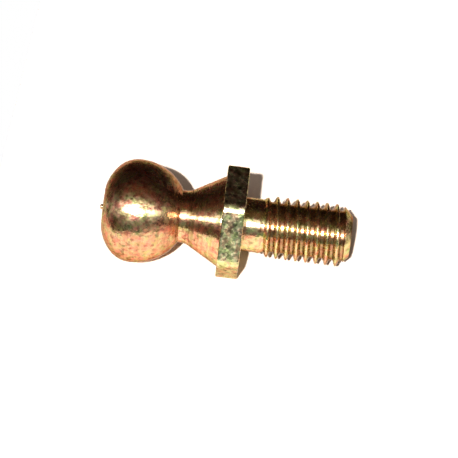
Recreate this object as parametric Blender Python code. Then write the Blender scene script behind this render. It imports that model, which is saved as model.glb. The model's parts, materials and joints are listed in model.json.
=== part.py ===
"""Ball stud of a small ball joint: a 13 mm ball head, a tapered neck, a hex collar and an M8 shank.

The stud lies along +X with its thread at +X, resting on one hex flat and on the ball, and z = 0 is
the surface that it lies on. The origin is at the bottom centre of the bounding box. The shank's
shoulder seats in a shallow counterbore in the collar, and its long spigot carries the collar and
the neck and ends in a blind bore in the ball.
Positions along the stud are measured from the ball's centre, in metres.
"""

import math

import bmesh
import bpy
from mathutils import Vector

# Ball head
BALL_RADIUS = 0.0065
POLE_SEMI_AXIS = 0.00475
POLE_FLAT_RADIUS = 0.0034
PIP_RADIUS = 0.00035
PIP_LENGTH = 0.0005

# Neck between the ball and the collar
NECK_RADIUS = 0.0033
NECK_LENGTH = 0.00085
NECK_FILLET = 0.0005
CONE_LENGTH = 0.00425
CONE_STEP = 0.0008

# Hex collar
HEX_ACROSS_FLATS = 0.013
HEX_THICKNESS = 0.00275
HEX_EDGE_RADIUS = 0.0012
FACE_CHAMFER = 0.00012

# Shank and thread: M8 x 1.25, right-handed
SHANK_LENGTH = 0.0135
PLAIN_RADIUS = 0.0034
THREAD_MAJOR_RADIUS = 0.0039
THREAD_PITCH = 0.00125
THREAD_DEPTH = 0.6134 * THREAD_PITCH
RUN_IN_START = 0.0019
RUN_IN_LENGTH = 0.0016
END_CHAMFER = 0.00125
CREST_ANGLE = math.radians(43)
CREST_POSITION = 0.0039

# Spigot that holds the pieces together
SPIGOT_RADIUS = 0.002
SPIGOT_DEPTH_IN_BALL = 0.0045
SPIGOT_CHAMFER = 0.0003

# Fits
SEAT_GAP = 0.00005
BORE_CLEARANCE = 0.00005
SEAT_DEPTH = 0.0003

# Fineness of the facets
TURN_SEGMENTS = 64
THREAD_SEGMENTS = 48
BALL_NECK_SIDE_STEPS = 14
BALL_POLE_SIDE_STEPS = 12
EDGE_STEPS = 6
FLAT_STEPS = 8
SMOOTH_BELOW = math.radians(35)

# The profile of one pitch: how far along the pitch each corner is, and whether it is on the crest
THREAD_CORNERS = ((0.0, 1.0), (0.125, 1.0), (0.4375, 0.0), (0.6875, 0.0))

# Positions that follow from the sizes, along +X from the ball's centre
AXIS_HEIGHT = max(BALL_RADIUS, HEX_ACROSS_FLATS / 2)
CONE_END_RADIUS = HEX_ACROSS_FLATS / 2 - CONE_STEP
END_FACE_RADIUS = THREAD_MAJOR_RADIUS - END_CHAMFER
BALL_END = math.sqrt(BALL_RADIUS**2 - NECK_RADIUS**2)
POLE_FLAT = -POLE_SEMI_AXIS * math.sqrt(1 - (POLE_FLAT_RADIUS / BALL_RADIUS) ** 2)
PIP_END = POLE_FLAT - PIP_LENGTH
NECK_START = BALL_END + SEAT_GAP
CONE_START = NECK_START + NECK_LENGTH
CONE_END = CONE_START + CONE_LENGTH
HEX_START = CONE_END + SEAT_GAP
BEARING_FACE = HEX_START + HEX_THICKNESS
SEAT_FLOOR = BEARING_FACE - SEAT_DEPTH
SHANK_START = SEAT_FLOOR + SEAT_GAP
SHANK_END = BEARING_FACE + SHANK_LENGTH
SPIGOT_END = BALL_END - SPIGOT_DEPTH_IN_BALL
BORE_RADIUS = SPIGOT_RADIUS + BORE_CLEARANCE
BORE_END = SPIGOT_END - BORE_CLEARANCE
SEAT_RADIUS = PLAIN_RADIUS + BORE_CLEARANCE
CORNER_CENTRE = (HEX_ACROSS_FLATS / 2 - HEX_EDGE_RADIUS) / math.cos(math.pi / 6)
MIDDLE = (PIP_END + SHANK_END) / 2

# Colours of the zinc-plated, yellow-passivated steel
GOLD = (0.62, 0.47, 0.22)
OLIVE_GOLD = (0.55, 0.45, 0.24)
PALE_GOLD = (0.66, 0.52, 0.27)


def clear_scene():
    for obj in list(bpy.data.objects):
        bpy.data.objects.remove(obj, do_unlink=True)


def plated_steel(name, colour, roughness):
    material = bpy.data.materials.new(name)
    material.use_nodes = True
    shader = material.node_tree.nodes["Principled BSDF"]
    shader.inputs["Base Color"].default_value = (*colour, 1.0)
    shader.inputs["Metallic"].default_value = 1.0
    shader.inputs["Roughness"].default_value = roughness
    return material


def place(along, radius, angle):
    """A point beside the stud's axis, in the part's own frame. The angle turns from +Y to +Z."""
    return Vector(
        (along - MIDDLE, radius * math.cos(angle), AXIS_HEIGHT + radius * math.sin(angle))
    )


def steps(first, last, count):
    """Count + 1 values from first to last."""
    return [first + (last - first) * index / count for index in range(count + 1)]


def finish(bm, name, material):
    bmesh.ops.recalc_face_normals(bm, faces=bm.faces)
    mesh = bpy.data.meshes.new(name)
    bm.to_mesh(mesh)
    bm.free()
    mesh.shade_smooth()
    mesh.set_sharp_from_angle(angle=SMOOTH_BELOW)
    mesh.materials.append(material)
    obj = bpy.data.objects.new(name, mesh)
    bpy.context.scene.collection.objects.link(obj)
    return obj


def turned(profile, name, material):
    """A closed solid turned about the stud's axis. A profile point at radius 0 becomes a pole."""
    bm = bmesh.new()
    angles = [math.tau * index / TURN_SEGMENTS for index in range(TURN_SEGMENTS)]
    rings = []
    for along, radius in profile:
        if radius == 0:
            rings.append([bm.verts.new(place(along, 0, 0))])
        else:
            rings.append([bm.verts.new(place(along, radius, angle)) for angle in angles])
    is_tube = len(rings[0]) > 1
    followers = rings[1:] + rings[:1] if is_tube else rings[1:]
    for ring, follower in zip(rings, followers):
        join_rings(bm, ring, follower)
    return finish(bm, name, material)


def join_rings(bm, ring, follower):
    count = max(len(ring), len(follower))
    for index in range(count):
        after = (index + 1) % count
        corners = [ring[index % len(ring)], ring[after % len(ring)]]
        corners += [follower[after % len(follower)], follower[index % len(follower)]]
        bm.faces.new(list(dict.fromkeys(corners)))


def ball_profile():
    """From the pip round the outside of the ball to the neck side, then down the blind bore."""
    first_angle = math.acos(POLE_FLAT / -POLE_SEMI_AXIS)
    pole_side = [
        (-POLE_SEMI_AXIS * math.cos(angle), BALL_RADIUS * math.sin(angle))
        for angle in steps(first_angle, math.pi / 2, BALL_POLE_SIDE_STEPS)
    ]
    last_angle = math.asin(BALL_END / BALL_RADIUS)
    neck_side = [
        (BALL_RADIUS * math.sin(angle), BALL_RADIUS * math.cos(angle))
        for angle in steps(0, last_angle, BALL_NECK_SIDE_STEPS)
    ]
    pip = [(PIP_END, 0), (PIP_END, PIP_RADIUS), (POLE_FLAT, PIP_RADIUS)]
    bore = [(BALL_END, BORE_RADIUS), (BORE_END, BORE_RADIUS), (BORE_END, 0)]
    return pip + pole_side + neck_side[1:] + bore


def neck_profile():
    """A short cylinder that opens into the cone, with a bore for the spigot."""
    slope = math.atan((CONE_END_RADIUS - NECK_RADIUS) / CONE_LENGTH)
    bend = NECK_FILLET * math.tan(slope / 2)
    fillet = [
        (
            CONE_START - bend + NECK_FILLET * math.sin(angle),
            NECK_RADIUS + NECK_FILLET * (1 - math.cos(angle)),
        )
        for angle in steps(0, slope, EDGE_STEPS)
    ]
    outside = [(NECK_START, NECK_RADIUS)] + fillet + [(CONE_END, CONE_END_RADIUS)]
    return [(NECK_START, BORE_RADIUS)] + outside + [(CONE_END, BORE_RADIUS)]


def hex_angles():
    """Angles round the collar: close together on its rounded corners, even along its flats."""
    half_corner = math.atan2(
        HEX_EDGE_RADIUS / 2, CORNER_CENTRE + HEX_EDGE_RADIUS * math.cos(math.pi / 6)
    )
    angles = []
    for corner in range(6):
        direction = math.pi / 3 * corner
        flat_end = direction + math.pi / 3 - half_corner
        angles += steps(direction - half_corner, direction + half_corner, EDGE_STEPS)
        angles += steps(direction + half_corner, flat_end, FLAT_STEPS)[1:-1]
    return angles


def hex_distance(angle, inset):
    """From the axis to the rounded hexagon, which has a corner at +Y and a flat facing down."""
    off_corner = abs((angle + math.pi / 6) % (math.pi / 3) - math.pi / 6)
    to_flat = (HEX_ACROSS_FLATS / 2 - inset) / math.cos(math.pi / 6 - off_corner)
    across = CORNER_CENTRE * math.sin(off_corner)
    edge_radius = HEX_EDGE_RADIUS - inset
    if across >= edge_radius / 2:
        return to_flat
    return CORNER_CENTRE * math.cos(off_corner) + math.sqrt(edge_radius**2 - across**2)


def build_hex_collar(material):
    bm = bmesh.new()
    angles = hex_angles()
    loops = []
    for along, inset in (
        (HEX_START, FACE_CHAMFER),
        (HEX_START + FACE_CHAMFER, 0),
        (BEARING_FACE - FACE_CHAMFER, 0),
        (BEARING_FACE, FACE_CHAMFER),
    ):
        outline = [place(along, hex_distance(angle, inset), angle) for angle in angles]
        loops.append([bm.verts.new(point) for point in outline])
    for along, radius in (
        (BEARING_FACE, SEAT_RADIUS),
        (SEAT_FLOOR, SEAT_RADIUS),
        (SEAT_FLOOR, BORE_RADIUS),
        (HEX_START, BORE_RADIUS),
    ):
        loops.append([bm.verts.new(place(along, radius, angle)) for angle in angles])
    for loop, follower in zip(loops, loops[1:] + loops[:1]):
        join_rings(bm, loop, follower)
    return finish(bm, "hex_collar", material)


def thread_radius(along, height):
    """The shank's radius at a corner of the thread, which grows out of the plain part."""
    crest = THREAD_MAJOR_RADIUS - THREAD_DEPTH * (1 - height)
    grown = (along - BEARING_FACE - RUN_IN_START) / RUN_IN_LENGTH
    share = min(max(grown, 0), 1)
    radius = PLAIN_RADIUS + (crest - PLAIN_RADIUS) * share
    chamfer = END_FACE_RADIUS + SHANK_END - along
    return min(radius, max(chamfer, END_FACE_RADIUS / 2))


def helical_skin(bm):
    """An open tube whose rings climb one pitch in each turn, a little longer than the shank."""
    first_turn = math.floor((SHANK_START - BEARING_FACE - CREST_POSITION) / THREAD_PITCH) - 2
    last_turn = math.ceil((SHANK_LENGTH - CREST_POSITION) / THREAD_PITCH) + 1
    corner_count = len(THREAD_CORNERS)
    rows = []
    for row in range((last_turn - first_turn) * corner_count + 1):
        fraction, height = THREAD_CORNERS[row % corner_count]
        turn = first_turn + row // corner_count + fraction - THREAD_CORNERS[1][0] / 2
        ring = []
        for index in range(THREAD_SEGMENTS):
            share = index / THREAD_SEGMENTS
            along = BEARING_FACE + CREST_POSITION + THREAD_PITCH * (turn + share)
            angle = CREST_ANGLE + math.tau * share
            ring.append(bm.verts.new(place(along, thread_radius(along, height), angle)))
        rows.append(ring)
    for row in range(len(rows) - corner_count - 1):
        for index in range(THREAD_SEGMENTS):
            here, above = rows[row], rows[row + 1]
            if index + 1 < THREAD_SEGMENTS:
                beside, beyond = here[index + 1], above[index + 1]
            else:
                beside, beyond = rows[row + corner_count][0], rows[row + corner_count + 1][0]
            bm.faces.new((here[index], beside, beyond, above[index]))


def cut_square(bm, along, keep_side):
    """Cuts the tube square to its axis and returns the cut's vertices in order round the axis."""
    everything = bm.verts[:] + bm.edges[:] + bm.faces[:]
    cut = bmesh.ops.bisect_plane(
        bm,
        geom=everything,
        dist=1e-8,
        plane_co=place(along, 0, 0),
        plane_no=Vector((-keep_side, 0, 0)),
        clear_outer=True,
    )
    rim = [item for item in cut["geom_cut"] if isinstance(item, bmesh.types.BMVert)]
    return sorted(rim, key=lambda vert: math.atan2(vert.co.z - AXIS_HEIGHT, vert.co.y))


def extend(bm, rim, outline):
    """Carries a rim on through rings at the same angles, and closes the last one."""
    angles = [math.atan2(vert.co.z - AXIS_HEIGHT, vert.co.y) for vert in rim]
    for along, radius in outline:
        ring = [bm.verts.new(place(along, radius, angle)) for angle in angles]
        join_rings(bm, rim, ring)
        rim = ring
    bm.faces.new(rim)


def build_threaded_shank(material):
    bm = bmesh.new()
    helical_skin(bm)
    loose = [vert for vert in bm.verts if not vert.link_faces]
    bmesh.ops.delete(bm, geom=loose, context="VERTS")
    end_rim = cut_square(bm, SHANK_END, -1)
    bm.faces.new(end_rim)
    start_rim = cut_square(bm, SHANK_START, 1)
    spigot = (
        (SHANK_START, SPIGOT_RADIUS),
        (SPIGOT_END + SPIGOT_CHAMFER, SPIGOT_RADIUS),
        (SPIGOT_END, SPIGOT_RADIUS - SPIGOT_CHAMFER),
    )
    extend(bm, start_rim, spigot)
    return finish(bm, "threaded_shank", material)


def build():
    clear_scene()
    turned(ball_profile(), "ball_head", plated_steel("ball_plating", GOLD, 0.22))
    turned(neck_profile(), "taper_neck", plated_steel("neck_plating", PALE_GOLD, 0.28))
    build_hex_collar(plated_steel("collar_plating", OLIVE_GOLD, 0.38))
    build_threaded_shank(plated_steel("shank_plating", GOLD, 0.3))


build()
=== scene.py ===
"""A yellow-plated steel ball stud lying on a pale floor.

Four pieces stand for the four CAD nodes: the turned ball head, the turned neck with its cone, the
hex collar and the shank with its rolled thread. All lengths are in metres, the stud lies along X,
and the camera looks from the side of -Y.
"""

import json
import math

import bmesh
import bpy
from mathutils import Matrix, Vector

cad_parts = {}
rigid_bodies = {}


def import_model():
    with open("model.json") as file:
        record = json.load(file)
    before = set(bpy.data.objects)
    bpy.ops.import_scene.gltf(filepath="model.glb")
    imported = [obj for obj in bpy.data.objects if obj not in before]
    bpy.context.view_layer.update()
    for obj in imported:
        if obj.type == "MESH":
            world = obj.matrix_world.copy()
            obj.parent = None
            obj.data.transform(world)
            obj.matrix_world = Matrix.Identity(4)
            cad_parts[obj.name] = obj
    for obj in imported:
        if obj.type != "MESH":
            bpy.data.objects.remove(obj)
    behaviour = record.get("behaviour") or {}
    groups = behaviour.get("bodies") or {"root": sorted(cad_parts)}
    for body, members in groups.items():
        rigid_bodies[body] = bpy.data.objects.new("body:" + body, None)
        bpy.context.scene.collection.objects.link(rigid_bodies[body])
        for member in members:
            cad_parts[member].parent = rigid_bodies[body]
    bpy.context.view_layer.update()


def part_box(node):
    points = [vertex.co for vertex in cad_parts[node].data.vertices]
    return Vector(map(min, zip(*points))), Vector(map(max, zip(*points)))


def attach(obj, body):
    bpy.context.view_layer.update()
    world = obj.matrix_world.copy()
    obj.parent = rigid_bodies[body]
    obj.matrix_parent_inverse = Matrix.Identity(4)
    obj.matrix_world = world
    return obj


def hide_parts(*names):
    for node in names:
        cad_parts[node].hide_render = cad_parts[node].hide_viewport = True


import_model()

MM = 0.001

# Where the CAD pieces are
ball_low, ball_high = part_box("ball_head")
neck_low, neck_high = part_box("taper_neck")
collar_low, collar_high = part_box("hex_collar")
shank_low, shank_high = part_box("threaded_shank")

AXIS_Z = (ball_low.z + ball_high.z) / 2
BALL_RADIUS = (ball_high.z - ball_low.z) / 2
NECK_RADIUS = 3.3 * MM
BALL_X = ball_high.x - math.sqrt(BALL_RADIUS**2 - NECK_RADIUS**2)
CONE_RADIUS = (neck_high.z - neck_low.z) / 2
ACROSS_FLATS = collar_high.z - collar_low.z
BEARING_X = collar_high.x
SHANK_END_X = shank_high.x

# ---------------------------------------------------------------- helpers for meshes

TURNED_COLUMNS = 224  # faces round a turned piece
ON_AXIS = 1e-7  # a smaller radius is one point on the axis
LONGEST_REACH = 0.45  # of a side's length, that a rounded corner may take up
SHARP_ABOVE = 40  # degrees between two faces


def place(x, radius, angle):
    """A point beside the stud's axis. The angle turns from +Y to +Z."""
    return Vector((x, radius * math.cos(angle), AXIS_Z + radius * math.sin(angle)))


def steps(first, last, count):
    return [first + (last - first) * index / count for index in range(count + 1)]


def rounded(points, radius, count):
    """A profile whose inner corners are each replaced with a small curve of about that radius."""
    done = [points[0]]
    for before, corner, after in zip(points, points[1:], points[2:]):
        corner = Vector(corner)
        way_in, way_out = Vector(before) - corner, Vector(after) - corner
        start = corner + way_in.normalized() * min(radius, way_in.length * LONGEST_REACH)
        end = corner + way_out.normalized() * min(radius, way_out.length * LONGEST_REACH)
        for share in steps(0, 1, count):
            blend = start * (1 - share) ** 2 + corner * 2 * share * (1 - share) + end * share**2
            done.append(tuple(blend))
    done.append(points[-1])
    return done


def bridge(bm, rings):
    """Joins each ring of points to the next. A ring may be a single point on the axis."""
    for ring, follower in zip(rings, rings[1:]):
        count = max(len(ring), len(follower))
        for i in range(count):
            j = (i + 1) % count
            corners = [ring[i % len(ring)], ring[j % len(ring)]]
            corners += [follower[j % len(follower)], follower[i % len(follower)]]
            bm.faces.new(list(dict.fromkeys(corners)))


def add_object(name, data):
    obj = bpy.data.objects.new(name, data)
    bpy.context.scene.collection.objects.link(obj)
    return obj


def mesh_object(name, bm, sharp_above=SHARP_ABOVE):
    """Ends a mesh: faces outward, smooth, and sharp where it bends by more than that angle."""
    bmesh.ops.recalc_face_normals(bm, faces=bm.faces)
    mesh = bpy.data.meshes.new(name)
    bm.to_mesh(mesh)
    bm.free()
    mesh.shade_smooth()
    mesh.set_sharp_from_angle(angle=math.radians(sharp_above))
    return add_object(name, mesh)


def turned(name, profile):
    """A closed solid turned about the stud's axis. The profile starts and ends on the axis."""
    bm = bmesh.new()
    rings = []
    for x, radius in profile:
        columns = 1 if radius < ON_AXIS else TURNED_COLUMNS
        rings.append(
            [bm.verts.new(place(x, radius, math.tau * i / columns)) for i in range(columns)]
        )
    bridge(bm, rings)
    return mesh_object(name, bm)


# ---------------------------------------------------------------- ball head

POLE_SEMI_AXIS = 4.45 * MM
POLE_POWER = 2.2
POLE_FLAT_RADIUS = 3.0 * MM
POLE_STEPS = 56
EQUATOR_GAP = 0.012  # radians left out before the equator, where both halves meet
NECK_SIDE_STEPS = 64
PIP_RADIUS = 0.35 * MM
PIP_TAPER = 0.8
BALL_EDGE_ROUNDING = 0.1 * MM
BALL_EDGE_STEPS = 4
TOOL_MARKS = 11
TOOL_MARKS_FROM = 0.7 * MM
TOOL_MARKS_TO = POLE_FLAT_RADIUS - 0.25 * MM
TOOL_MARK_DEPTH = 0.012 * MM
TOOL_MARK_WIDTH = 0.1 * MM


def ball_profile():
    """From the pip at the parting face round the ball to its seat on the neck."""
    fullness = 2 / POLE_POWER

    def on_pole_side(angle):
        return (
            -POLE_SEMI_AXIS * math.cos(angle) ** fullness,
            BALL_RADIUS * math.sin(angle) ** fullness,
        )

    first = math.asin((POLE_FLAT_RADIUS / BALL_RADIUS) ** (1 / fullness))
    pole_side = [
        on_pole_side(angle) for angle in steps(first, math.pi / 2 - EQUATOR_GAP, POLE_STEPS)
    ]
    pole_x = pole_side[0][0]
    pip_x = ball_low.x - BALL_X
    pip = [(pip_x, 0), (pip_x, PIP_RADIUS * PIP_TAPER), (pole_x, PIP_RADIUS)]
    # faint steps that the parting tool leaves on the end face
    face = []
    for radius in steps(TOOL_MARKS_FROM, TOOL_MARKS_TO, TOOL_MARKS):
        face += [(pole_x, radius), (pole_x + TOOL_MARK_DEPTH, radius + TOOL_MARK_WIDTH)]
    seat_angle = math.asin((ball_high.x - BALL_X) / BALL_RADIUS)
    neck_side = [
        (BALL_RADIUS * math.sin(angle), BALL_RADIUS * math.cos(angle))
        for angle in steps(0, seat_angle, NECK_SIDE_STEPS)
    ]
    outline = rounded(pip, BALL_EDGE_ROUNDING, BALL_EDGE_STEPS) + face
    outline += rounded(pole_side[:3], BALL_EDGE_ROUNDING, BALL_EDGE_STEPS)[:-1]
    outline += pole_side[2:] + neck_side + [(neck_side[-1][0], 0)]
    return [(BALL_X + x, radius) for x, radius in outline]


ball = turned("ball_shell", ball_profile())

# ---------------------------------------------------------------- neck and cone

NECK_LENGTH = 0.85 * MM
NECK_IN_BALL = 0.35 * MM
CONE_IN_COLLAR = 0.02 * MM
BEND_ROUNDING = 0.4 * MM
BEND_STEPS = 10
CONE_STEPS = 40


def neck_profile():
    """A short cylinder that runs into the ball at one end and opens into the cone at the other."""
    start = ball_high.x - NECK_IN_BALL
    bend = neck_low.x + NECK_LENGTH
    cone_end = collar_low.x + CONE_IN_COLLAR
    outside = rounded(
        [(start, NECK_RADIUS), (bend, NECK_RADIUS), (neck_high.x, CONE_RADIUS)],
        BEND_ROUNDING,
        BEND_STEPS,
    )
    (x0, r0), (x1, r1) = outside[-2:]
    cone = [(x0 + (x1 - x0) * s, r0 + (r1 - r0) * s) for s in steps(0, 1, CONE_STEPS)]
    return [(start, 0)] + outside[:-1] + cone + [(cone_end, CONE_RADIUS), (cone_end, 0)]


neck = turned("neck_cone", neck_profile())

# ---------------------------------------------------------------- hex collar

CORNER_ROUNDING = 1.45 * MM
CORNER_SPREAD = math.radians(7.5)  # each side of a corner, where the columns lie closer together
CORNER_COLUMNS = 16
FLAT_COLUMNS = 14
RIM_ROUNDING = 0.17 * MM
RIM_STEPS = 6
SIDE_STEPS = 10
FACE_RADII = steps(6.1 * MM, 3.3 * MM, 14)
COLLAR_SHARP_ABOVE = 50


def hex_distance(angle, inset):
    """From the axis to the rounded hexagon, with corners at +Y and -Y and a flat facing down."""
    corner_centre = (ACROSS_FLATS / 2 - CORNER_ROUNDING) / math.cos(math.pi / 6)
    off_corner = abs((angle + math.pi / 6) % (math.pi / 3) - math.pi / 6)
    to_flat = (ACROSS_FLATS / 2 - inset) / math.cos(math.pi / 6 - off_corner)
    across = corner_centre * math.sin(off_corner)
    edge_radius = CORNER_ROUNDING - inset
    if across >= edge_radius / 2:
        return to_flat
    return corner_centre * math.cos(off_corner) + math.sqrt(edge_radius**2 - across**2)


def hex_angles():
    """Angles round the collar, closer together on its rounded corners."""
    angles = []
    for corner in range(6):
        direction = math.pi / 3 * corner
        flat_start, flat_end = direction + CORNER_SPREAD, direction + math.pi / 3 - CORNER_SPREAD
        angles += steps(direction - CORNER_SPREAD, flat_start, CORNER_COLUMNS)
        angles += steps(flat_start, flat_end, FLAT_COLUMNS)[1:-1]
    return angles


def build_collar():
    bm = bmesh.new()
    start, end = collar_low.x, collar_high.x
    angles = hex_angles()
    rim = [
        (start + RIM_ROUNDING * (1 - math.sin(turn)), RIM_ROUNDING * (1 - math.cos(turn)))
        for turn in steps(0, math.pi / 2, RIM_STEPS)
    ]
    side = [(x, 0) for x in steps(start + RIM_ROUNDING, end - RIM_ROUNDING, SIDE_STEPS)[1:-1]]
    far_rim = [(start + end - x, inset) for x, inset in rim]
    loops = [
        [bm.verts.new(place(x, hex_distance(angle, inset), angle)) for angle in angles]
        for x, inset in rim[::-1] + side + far_rim
    ]
    # turned rings on both faces, then the centre
    for x, edge in ((end, loops[-1]), (start, loops[0])):
        rings = [
            [bm.verts.new(place(x, radius, angle)) for angle in angles] for radius in FACE_RADII
        ]
        bridge(bm, [edge] + rings + [[bm.verts.new(place(x, 0, 0))]])
    bridge(bm, loops)
    return mesh_object("hex_collar_body", bm, COLLAR_SHARP_ABOVE)


collar = build_collar()

# ---------------------------------------------------------------- node trees


class Graph:
    """A short way to write a node tree: each call makes one node, and a value may be a socket."""

    def __init__(self, tree):
        self.nodes = tree.nodes
        self.links = tree.links

    def node(self, kind, inputs=(), **settings):
        made = self.nodes.new(kind)
        for key, value in settings.items():
            setattr(made, key, value)
        for key, value in dict(inputs).items():
            self.give(made.inputs[key], value)
        return made

    def give(self, socket, value):
        if isinstance(value, bpy.types.NodeSocket):
            self.links.new(value, socket)
        else:
            socket.default_value = value

    def math(self, operation, a, b=0.0, c=0.0, clamp=False):
        return self.node(
            "ShaderNodeMath", {0: a, 1: b, 2: c}, operation=operation, use_clamp=clamp
        ).outputs[0]

    def between(self, share, a, b):
        """The number that lies that share of the way from a to b."""
        return self.math("MULTIPLY_ADD", self.math("SUBTRACT", b, a), share, a)

    def mix(self, share, a, b, blend="MIX"):
        """Two colours, mixed."""
        inputs = {0: share, 6: rgba(a), 7: rgba(b)}
        return self.node("ShaderNodeMix", inputs, data_type="RGBA", blend_type=blend).outputs[2]

    def ramp(self, factor, stops):
        """Colours that change along a number. A stop is a position and a colour."""
        node = self.node("ShaderNodeValToRGB", {"Fac": factor})
        elements = node.color_ramp.elements
        while len(elements) < len(stops):
            elements.new(0.5)
        for element, (position, colour) in zip(elements, stops):
            element.position = position
            element.color = rgba(colour)
        return node.outputs["Color"]

    def scaled(self, value, low, high, from_low, from_high, **settings):
        """A number in one range, carried over to another range and kept inside it."""
        inputs = {"Value": value, 1: from_low, 2: from_high, 3: low, 4: high}
        return self.node("ShaderNodeMapRange", inputs, **settings).outputs[0]


def rgba(colour):
    return colour if isinstance(colour, bpy.types.NodeSocket) else (*colour, 1.0)


# ---------------------------------------------------------------- threaded shank

PITCH = 1.25 * MM
METRIC_DEPTH = 0.6134  # of the pitch, from crest to root

THREAD = {
    "Bearing Face": BEARING_X,
    "Axis Height": AXIS_Z,
    "Start": -0.25 * MM,
    "End": SHANK_END_X - BEARING_X,
    "Plain Radius": 3.4 * MM,
    "Crest Radius": 3.9 * MM,
    "Pitch": PITCH,
    "Depth": METRIC_DEPTH * PITCH,
    "Run-in Start": 1.9 * MM,
    "Run-in Length": 1.6 * MM,
    "End Face Radius": 2.65 * MM,
    "Crest Position": 3.9 * MM,
    "Crest Angle": math.radians(43),
    "Crest Share": 0.125,
    "Root Share": 0.75,
    "Softness": 0.5,
}
THREAD_MESH = {"Rows per Turn": 24, "Around": 144}
TURNS_BEFORE = 6  # before and after the crest at Crest Position, to reach past both cuts
TURNS_AFTER = 10
CLOSE_POINTS = 1e-6  # the two long edges of the tube are merged
CUT_TOLERANCE = 1e-7
END_RING_SHARES = (0.96, 0.8, 0.6, 0.4, 0.2)
THREAD_SHARP_ABOVE = 38


class ThreadGraph(Graph):
    """The Geometry Nodes tree of the thread, with a named input for each of its sizes."""

    def __init__(self):
        self.group = bpy.data.node_groups.new("rolled_thread", "GeometryNodeTree")
        self.group.is_modifier = True
        super().__init__(self.group)
        self.ids = {}
        self.socket("Geometry", "NodeSocketGeometry", way="OUTPUT")
        for name, value in THREAD_MESH.items():
            self.socket(name, "NodeSocketInt", value)
        for name, value in THREAD.items():
            self.socket(name, "NodeSocketFloat", value)
        self.socket("Material", "NodeSocketMaterial")

    def socket(self, name, kind, value=None, way="INPUT"):
        made = self.group.interface.new_socket(name=name, in_out=way, socket_type=kind)
        if value is not None:
            made.default_value = value
        self.ids[name] = made.identifier


def thread_graph():
    """A tube whose rows climb one pitch in each turn, so that its crests run along the rows."""
    t = ThreadGraph()
    given = t.node("NodeGroupInput").outputs
    turns = TURNS_BEFORE + TURNS_AFTER
    rows = t.math("MULTIPLY_ADD", given["Rows per Turn"], turns, 1)
    columns = t.math("ADD", given["Around"], 1)
    grid = t.node(
        "GeometryNodeMeshGrid",
        {"Size X": 1.0, "Size Y": 1.0, "Vertices X": rows, "Vertices Y": columns},
    )
    spot = t.node("ShaderNodeSeparateXYZ", {0: t.node("GeometryNodeInputPosition").outputs[0]})
    turn = t.math("MULTIPLY_ADD", t.math("ADD", spot.outputs[0], 0.5), turns, -TURNS_BEFORE)
    share = t.math("ADD", spot.outputs[1], 0.5)
    climb = t.math("ADD", turn, share)
    along = t.math("MULTIPLY_ADD", climb, given["Pitch"], given["Crest Position"])
    angle = t.math("MULTIPLY_ADD", share, math.tau, given["Crest Angle"])
    # distance from the nearest crest, 0 on the crest and 1 in the middle of the root
    nearest = t.math("ABSOLUTE", t.math("SUBTRACT", turn, t.math("ROUND", turn)))
    off_crest = t.math("MULTIPLY", nearest, 2.0)
    flank = t.math("SUBTRACT", given["Root Share"], given["Crest Share"])
    down = t.math("SUBTRACT", off_crest, given["Crest Share"])
    fall = t.math("DIVIDE", down, flank, clamp=True)
    # a straight flank, eased towards a smooth wave
    squared = t.math("MULTIPLY", fall, fall)
    eased = t.math("MULTIPLY", squared, t.math("MULTIPLY_ADD", fall, -2.0, 3.0))
    lowered = t.math("MULTIPLY", t.between(given["Softness"], fall, eased), given["Depth"])
    full = t.math("SUBTRACT", given["Crest Radius"], lowered)
    # the thread grows out of the plain part
    since = t.math("SUBTRACT", along, given["Run-in Start"])
    grown = t.math("DIVIDE", since, given["Run-in Length"], clamp=True)
    radius = t.between(grown, given["Plain Radius"], full)
    # the chamfer at the end
    to_end = t.math("SUBTRACT", given["End"], along)
    cone = t.math("ADD", given["End Face Radius"], to_end)
    least = t.math("MULTIPLY", given["End Face Radius"], 0.5)
    radius = t.math("MINIMUM", radius, t.math("MAXIMUM", cone, least))
    x = t.math("ADD", along, given["Bearing Face"])
    y = t.math("MULTIPLY", radius, t.math("COSINE", angle))
    z = t.math("MULTIPLY_ADD", radius, t.math("SINE", angle), given["Axis Height"])
    point = t.node("ShaderNodeCombineXYZ", {0: x, 1: y, 2: z}).outputs[0]
    # 1 on the crests and on the plain part and 0 in the roots, kept for the painted shade in the
    # roots
    height = t.math("SUBTRACT", 1.0, t.math("MULTIPLY", fall, grown))
    kept = t.node(
        "GeometryNodeStoreNamedAttribute",
        {"Geometry": grid.outputs["Mesh"], "Name": "crest", "Value": height},
        data_type="FLOAT",
        domain="POINT",
    )
    moved = t.node("GeometryNodeSetPosition", {"Geometry": kept.outputs[0], "Position": point})
    merged = t.node(
        "GeometryNodeMergeByDistance", {"Geometry": moved.outputs[0], "Distance": CLOSE_POINTS}
    )
    real = t.node("GeometryNodeRealizeInstances", {"Geometry": merged.outputs[0]})
    finished = t.node(
        "GeometryNodeSetMaterial", {"Geometry": real.outputs[0], "Material": given["Material"]}
    )
    t.node("NodeGroupOutput", {"Geometry": finished.outputs[0]})
    return t


def close_end(bm, x, keep_side):
    """Cuts the tube square to its axis and closes the cut with rings and a centre point."""
    cut = bmesh.ops.bisect_plane(
        bm,
        geom=bm.verts[:] + bm.edges[:] + bm.faces[:],
        dist=CUT_TOLERANCE,
        plane_co=(x, 0, 0),
        plane_no=(-keep_side, 0, 0),
        clear_outer=True,
    )
    rim = [item for item in cut["geom_cut"] if isinstance(item, bmesh.types.BMVert)]
    rim.sort(key=lambda vert: math.atan2(vert.co.z - AXIS_Z, vert.co.y))
    centre = Vector((x, 0, AXIS_Z))
    rings = [
        [bm.verts.new(centre + (vert.co - centre) * share) for vert in rim]
        for share in END_RING_SHARES
    ]
    bridge(bm, [rim] + rings + [[bm.verts.new(centre)]])


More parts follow.
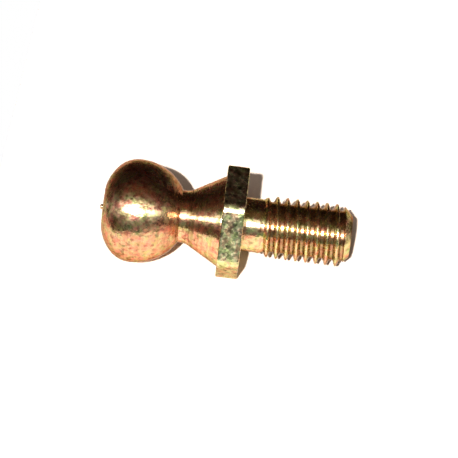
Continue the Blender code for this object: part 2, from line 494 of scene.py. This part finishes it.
def build_shank(material):
    graph = thread_graph()
    carrier = add_object("thread_carrier", bpy.data.meshes.new("thread_carrier"))
    modifier = carrier.modifiers.new("rolled_thread", "NODES")
    modifier.node_group = graph.group
    for name, value in {**THREAD, **THREAD_MESH, "Material": material}.items():
        modifier[graph.ids[name]] = value
    evaluated = carrier.evaluated_get(bpy.context.evaluated_depsgraph_get())
    mesh = bpy.data.meshes.new_from_object(evaluated)
    bpy.data.objects.remove(carrier)
    bm = bmesh.new()
    bm.from_mesh(mesh)
    close_end(bm, SHANK_END_X, -1)
    close_end(bm, BEARING_X + THREAD["Start"], 1)
    return mesh_object("threaded_shank_body", bm, THREAD_SHARP_ABOVE)


# ---------------------------------------------------------------- finishes

WHITE = (1.0, 1.0, 1.0)
PEACH = (0.92, 0.46, 0.33)
GOLD = (0.85, 0.56, 0.34)
STRAW = (0.84, 0.69, 0.39)
OLIVE = (0.60, 0.62, 0.34)
PALE = (0.94, 0.86, 0.58)
PLUM = (0.62, 0.33, 0.27)
# painted shade that darkens the thread's roots
ROOT_SHADE_BROWN = (0.22, 0.10, 0.045)
# painted shade that darkens the ball beside the neck
NECK_SHADE_UMBER = (0.36, 0.18, 0.11)
EDGE_TINT = (0.38, 0.32, 0.28)
ROSE_FILM = (1.0, 0.66, 0.66)
GREEN_FILM = (0.79, 1.0, 0.70)
TURNING_SHADE = (0.55, 0.50, 0.46)
WARM_SPOT = (0.42, 0.36, 0.34)
DARK_SPOT = (0.11, 0.11, 0.095)

# Every mark in the plating: its size along X, and what sets its noise apart from the other marks'
MARKS = {
    "blotches": {"size": 0.7 * MM, "rough": 0.55},
    "patches": {"size": 1.7 * MM, "rough": 0.5, "shift": 3.1},
    "film": {"size": 0.95 * MM, "rough": 0.6, "shift": 20.3},
    "spots": {"size": 0.80 * MM, "rough": 0.65, "shift": 7.7},
    "grain": {"size": 0.7 * MM, "rough": 0.6, "shift": 11.3},
    "pebbles": {"size": 0.85 * MM, "rough": 0.6, "shift": 5.9},
    "turning": {"size": 0.34 * MM, "rough": 0.65, "detail": 3.0, "stretch": (1, 60, 60)},
    # breaks the painted shade on the ball beside the neck into rings
    "neck shade rings": {"size": 0.5 * MM, "rough": 0.6, "shift": 31.0, "stretch": (1, 9, 9)},
}

# Noise lies about 0.5, so the stops lie close to it
TONE_STOPS = (0.34, 0.42, 0.5, 0.6, 0.68)
PATCH_STOPS = (0.35, 0.5, 0.65)
FILM_STOPS = (0.40, 0.5, 0.60)
SPOT_STOPS = (0.34, 0.48)
TURNING_STOPS = (0.38, 0.52)
NOISE_RANGE = (0.3, 0.7)
NECK_SHADE_RANGE = (0.4, 0.6)

PATCH_SHARE = 0.45
FILM_SHARE = 0.75
SPOT_SHARE = 0.8
ROOT_SHADE_SHARE = 0.6  # how much painted shade, in brown, the roots of the thread take
ROOT_SHADE_HEIGHT = 0.4  # of the thread's depth, above which no painted shade is left
# painted shade on the ball beside the neck: its darkest share of umber, and the least share that
# the rings leave of it
DEEPEST_NECK_SHADE = 0.8
FAINTEST_NECK_SHADE = 0.2
TURNING_DEPTH = 3e-6
TURNING_ROUGHNESS = (0.06, -0.04)
ALONG_THE_RINGS = 0.25  # a quarter turn, so that the gloss is drawn out across the turning rings


class Finish(Graph):
    """The node tree of one procedural material, on the object's own coordinates."""

    def __init__(self, name, offset=0):
        self.material = bpy.data.materials.new(name)
        self.material.use_nodes = True
        super().__init__(self.material.node_tree)
        self.shader = self.nodes["Principled BSDF"]
        self.where = self.node("ShaderNodeTexCoord").outputs["Object"]
        self.offset = offset

    def noise(self, size, rough=0.5, detail=2.0, shift=0.0, stretch=(1, 1, 1)):
        """Noise whose blotches are about size metres across, stretched along any axis."""
        moved = {
            "Vector": self.where,
            "Location": [self.offset + shift] * 3,
            "Scale": [1 / (size * s) for s in stretch],
        }
        look = {
            "Vector": self.node("ShaderNodeMapping", moved).outputs[0],
            "Scale": 1.0,
            "Detail": detail,
            "Roughness": rough,
        }
        return self.node("ShaderNodeTexNoise", look).outputs["Fac"]

    def marks(self, kind):
        return self.noise(**MARKS[kind])

    def bump(self, height, depth, normal=None):
        inputs = {"Height": height, "Distance": depth, "Strength": 1.0}
        if normal is not None:
            inputs["Normal"] = normal
        return self.node("ShaderNodeBump", inputs).outputs[0]

    def set(self, **values):
        """Gives the shader its values. An underscore stands for the space in a socket's name."""
        for name, value in values.items():
            self.give(self.shader.inputs[name.replace("_", " ")], value)


def stops(positions, *colours):
    return tuple(zip(positions, colours))


def plating(
    name,
    tones,
    patch_tones,
    roughness,
    pebble,
    offset=0,
    anisotropic=0.0,
    rings=0.0,
    root_shade_attribute=None,
    neck_shade_from=None,
    darkest=WARM_SPOT,
    strength=1.0,
):
    """Yellow-passivated zinc: small blotches of colour over larger patches, on a pebbled surface.

    The pebble is its bump's height in metres, and the offset moves the marks so that no two pieces
    share them. rings is how clearly the turning marks show. root_shade_attribute names the
    attribute that is 0 in the roots of a thread, which painted shade darkens with brown, and
    neck_shade_from is where, along X, painted shade darkens the ball to umber towards the neck.
    """
    f = Finish(name, offset)
    f.set(Metallic=1.0, Specular_Tint=rgba(EDGE_TINT))
    colour = f.ramp(f.marks("blotches"), stops(TONE_STOPS, *tones))
    patches = f.ramp(f.marks("patches"), stops(PATCH_STOPS, *patch_tones))
    colour = f.mix(PATCH_SHARE, colour, patches)
    colour = f.mix(1.0, colour, (strength, strength, strength), "MULTIPLY")
    tint = f.ramp(f.marks("film"), stops(FILM_STOPS, ROSE_FILM, WHITE, GREEN_FILM))
    colour = f.mix(FILM_SHARE, colour, tint, "MULTIPLY")
    dim = f.ramp(f.marks("spots"), stops(SPOT_STOPS, darkest, WHITE))
    colour = f.mix(SPOT_SHARE, colour, dim, "MULTIPLY")
    rough = f.scaled(f.marks("grain"), *roughness, *NOISE_RANGE)
    normal = f.bump(f.marks("pebbles"), pebble)
    if rings:
        turning = f.marks("turning")
        band = f.ramp(turning, stops(TURNING_STOPS, TURNING_SHADE, WHITE))
        colour = f.mix(rings, colour, band, "MULTIPLY")
        change = [amount * rings for amount in TURNING_ROUGHNESS]
        rough = f.math("ADD", rough, f.scaled(turning, *change, *NOISE_RANGE))
        normal = f.bump(turning, TURNING_DEPTH, normal)
    # painted shade: brown darkens the colour in the thread's roots
    if root_shade_attribute is not None:
        height = f.node("ShaderNodeAttribute", attribute_name=root_shade_attribute).outputs["Fac"]
        shade = f.scaled(height, 0.0, 1.0, 0.0, ROOT_SHADE_HEIGHT)
        colour = f.mix(shade, f.mix(ROOT_SHADE_SHARE, colour, ROOT_SHADE_BROWN), colour)
    # painted shade: towards the neck the ball darkens to umber, in uneven rings
    if neck_shade_from is not None:
        along = f.node("ShaderNodeSeparateXYZ", {0: f.where}).outputs[0]
        neck_shade = f.scaled(along, 0.0, DEEPEST_NECK_SHADE, *neck_shade_from)
        uneven = f.scaled(f.marks("neck shade rings"), 1.0, FAINTEST_NECK_SHADE, *NECK_SHADE_RANGE)
        colour = f.mix(f.math("MULTIPLY", neck_shade, uneven), colour, NECK_SHADE_UMBER)
    f.set(Base_Color=colour, Roughness=rough, Normal=normal)
    if anisotropic:
        tangent = f.node("ShaderNodeTangent", direction_type="RADIAL", axis="X").outputs[0]
        f.set(Anisotropic=anisotropic, Anisotropic_Rotation=ALONG_THE_RINGS, Tangent=tangent)
    return f.material


GOLD_TONES = (PLUM, PEACH, GOLD, STRAW, OLIVE)
GOLD_PATCHES = (PEACH, GOLD, OLIVE)

ball_finish = plating(
    "ball_plating",
    GOLD_TONES,
    GOLD_PATCHES,
    roughness=(0.20, 0.36),
    pebble=46e-6,
    anisotropic=0.8,
    rings=0.3,
    strength=0.90,
    # painted shade on the ball where it meets the neck
    neck_shade_from=(BALL_X + 3.2 * MM, BALL_X + 5.0 * MM),
)
neck_finish = plating(
    "neck_plating",
    GOLD_TONES,
    GOLD_PATCHES,
    roughness=(0.22, 0.32),
    pebble=34e-6,
    offset=4,
    anisotropic=0.95,
    rings=0.7,
)
collar_finish = plating(
    "collar_plating",
    (PLUM, OLIVE, STRAW, PALE, OLIVE),
    (STRAW, OLIVE, PALE),
    roughness=(0.14, 0.34),
    pebble=60e-6,
    offset=9,
    darkest=DARK_SPOT,
)
shank_finish = plating(
    "shank_plating",
    (PLUM, PEACH, STRAW, OLIVE, STRAW),
    (GOLD, STRAW, OLIVE),
    roughness=(0.20, 0.31),
    pebble=32e-6,
    offset=14,
    anisotropic=0.85,
    # the roots take painted shade
    root_shade_attribute="crest",
)

shank = build_shank(shank_finish)

for obj, finish, node in (
    (ball, ball_finish, "ball_head"),
    (neck, neck_finish, "taper_neck"),
    (collar, collar_finish, "hex_collar"),
    (shank, shank_finish, "threaded_shank"),
):
    obj.data.materials.clear()
    obj.data.materials.append(finish)
    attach(obj, "root")
    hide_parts(node)

# ---------------------------------------------------------------- camera

ELEVATION = math.radians(46.5)
ROLL = math.radians(7)
DISTANCE = 250 * MM
VIEW_WIDTH = 57.5 * MM
VIEW_PAST_BALL = 11.72 * MM
VIEW_UNDER_AXIS = 0.87 * MM
SENSOR_WIDTH = 36
NEAREST_SEEN = 0.01
FARTHEST_SEEN = 20

along_stud = Vector((1, 0, 0))
up_flat = Vector((0, math.sin(ELEVATION), math.cos(ELEVATION)))
right = along_stud * math.cos(ROLL) + up_flat * math.sin(ROLL)
up = up_flat * math.cos(ROLL) - along_stud * math.sin(ROLL)
back = right.cross(up)
target = Vector((BALL_X + VIEW_PAST_BALL, 0, AXIS_Z)) - up * VIEW_UNDER_AXIS

camera = add_object("camera", bpy.data.cameras.new("camera"))
turn = Matrix((right, up, back)).transposed().to_4x4()
camera.matrix_world = Matrix.Translation(target + back * DISTANCE) @ turn
camera.data.sensor_width = SENSOR_WIDTH
camera.data.lens = SENSOR_WIDTH * DISTANCE / VIEW_WIDTH
camera.data.clip_start = NEAREST_SEEN
camera.data.clip_end = FARTHEST_SEEN
bpy.context.scene.camera = camera

# ---------------------------------------------------------------- lamps

# A lamp's place is in degrees to the left of the camera and above it, as seen from the stud
KEY_PLACE = (6.2, 1.1)
KEY_STRENGTH = 8.5
KEY_SPREAD = math.radians(1.2)
PANEL_PLACE = (7.0, 6.0)
PANEL_DISTANCE = 0.6
PANEL_HALF_ANGLE = math.radians(18.5)
PANEL_RADIANCE = 2.3


def beside_camera(to_left, to_up):
    """The way from the stud to a lamp at that place."""
    return back - right * math.tan(math.radians(to_left)) + up * math.tan(math.radians(to_up))


def add_key_lamp(direction):
    """A distant lamp that draws the short hard shadows."""
    lamp = bpy.data.lights.new("key_lamp", "SUN")
    lamp.energy = KEY_STRENGTH
    lamp.angle = KEY_SPREAD
    add_object("key_lamp", lamp).rotation_euler = direction.to_track_quat("Z", "Y").to_euler()


def add_soft_panel(direction):
    """A round panel that faces the stud and gives the metal its wide bright strips."""
    radius = PANEL_DISTANCE * math.tan(PANEL_HALF_ANGLE)
    lamp = bpy.data.lights.new("soft_panel", "AREA")
    lamp.shape = "DISK"
    lamp.size = 2 * radius
    lamp.energy = PANEL_RADIANCE * math.pi * math.pi * radius**2
    facing = direction.to_track_quat("Z", "Y").to_matrix().to_4x4()
    middle = Matrix.Translation(target + direction.normalized() * PANEL_DISTANCE)
    add_object("soft_panel", lamp).matrix_world = middle @ facing


add_key_lamp(beside_camera(*KEY_PLACE))
add_soft_panel(beside_camera(*PANEL_PLACE))

# ---------------------------------------------------------------- floor

# How far the pale floor reaches past the ball, past the thread and to the front and the back
CARD_LEFT = 19 * MM
CARD_RIGHT = 70 * MM
CARD_FRONT = 160 * MM
CARD_BACK = 60 * MM
CARD_CELLS = 8
CARD_PATCH = 6 * MM
CARD_TONES = ((0.70, 0.585, 0.50), (0.73, 0.61, 0.52))
CARD_ROUGHNESS = 0.9


def build_floor():
    bm = bmesh.new()
    columns = steps(BALL_X - CARD_LEFT, SHANK_END_X + CARD_RIGHT, CARD_CELLS)
    rows = steps(-CARD_FRONT, CARD_BACK, CARD_CELLS)
    grid = [[bm.verts.new((x, y, 0)) for y in rows] for x in columns]
    for column, following in zip(grid, grid[1:]):
        for j in range(CARD_CELLS):
            bm.faces.new((column[j], following[j], following[j + 1], column[j + 1]))
    floor = mesh_object("floor", bm)
    f = Finish("pale_floor")
    tone = f.ramp(f.noise(CARD_PATCH), stops(NOISE_RANGE, *CARD_TONES))
    f.set(Base_Color=tone, Roughness=CARD_ROUGHNESS)
    floor.data.materials.append(f.material)


build_floor()

# ---------------------------------------------------------------- room

# How bright the room is, by degrees away from the soft panel, from the farthest in
GLOW = (
    (80, (0.034, 0.018, 0.012)),
    (60, (0.058, 0.034, 0.023)),
    (44, (0.135, 0.076, 0.040)),
    (28, (0.14, 0.092, 0.052)),
    (18, (0.25, 0.185, 0.12)),
)
GLOW_LEFT = 0.12
GLOW_UP = 0.09
GLOW_CENTRE = (back - right * GLOW_LEFT + up * GLOW_UP).normalized()
# The part of the room low in front of the stud, which its lower side faces
LOW_FRONT = (0.20, 0.23, 0.20)
LOW_ANGLE = math.radians(13)
LOW_CENTRE = (0, -math.cos(LOW_ANGLE), math.sin(LOW_ANGLE))
LOW_EDGE = (0.72, 0.93)
# The room behind the stud, from the floor up
REAR_LOW = (0.045, 0.03, 0.022)
REAR_HIGH = (0.02, 0.01, 0.008)
REAR_HEIGHTS = (0.0, 0.4)
REAR_EDGE = (0.2, 0.6)
BELOW = (0.11, 0.07, 0.045)
HORIZON = (-0.01, 0.01)


def build_world():
    """A dim brown room that the metal reflects, with a plain white backdrop for the camera."""
    world = bpy.data.worlds.new("dim_room")
    world.use_nodes = True
    bpy.context.scene.world = world
    w = Graph(world.node_tree)
    way = w.node("ShaderNodeTexCoord").outputs["Generated"]
    _, to_back, to_top = w.node("ShaderNodeSeparateXYZ", {0: way}).outputs

    def towards(centre):
        """1 where a ray runs at that centre, and less the further it runs from it."""
        return w.node(
            "ShaderNodeVectorMath", {0: way, 1: centre}, operation="DOT_PRODUCT"
        ).outputs["Value"]

    def eased(value, limits):
        return w.scaled(value, 0.0, 1.0, *limits, interpolation_type="SMOOTHSTEP")

    rings = [(math.cos(math.radians(degrees)), colour) for degrees, colour in GLOW]
    glow = w.ramp(towards(GLOW_CENTRE), rings)
    front = w.mix(eased(towards(LOW_CENTRE), LOW_EDGE), glow, LOW_FRONT)
    rear = w.mix(eased(to_top, REAR_HEIGHTS), REAR_LOW, REAR_HIGH)
    room = w.mix(eased(to_back, REAR_EDGE), front, rear)
    all_round = w.mix(eased(to_top, HORIZON), BELOW, room)
    seen = w.node("ShaderNodeLightPath").outputs["Is Camera Ray"]
    w.give(w.nodes["Background"].inputs["Color"], w.mix(seen, all_round, WHITE))


build_world()

view = bpy.context.scene.view_settings
view.view_transform = "Standard"
view.look = "None"
view.exposure = 0
view.gamma = 1
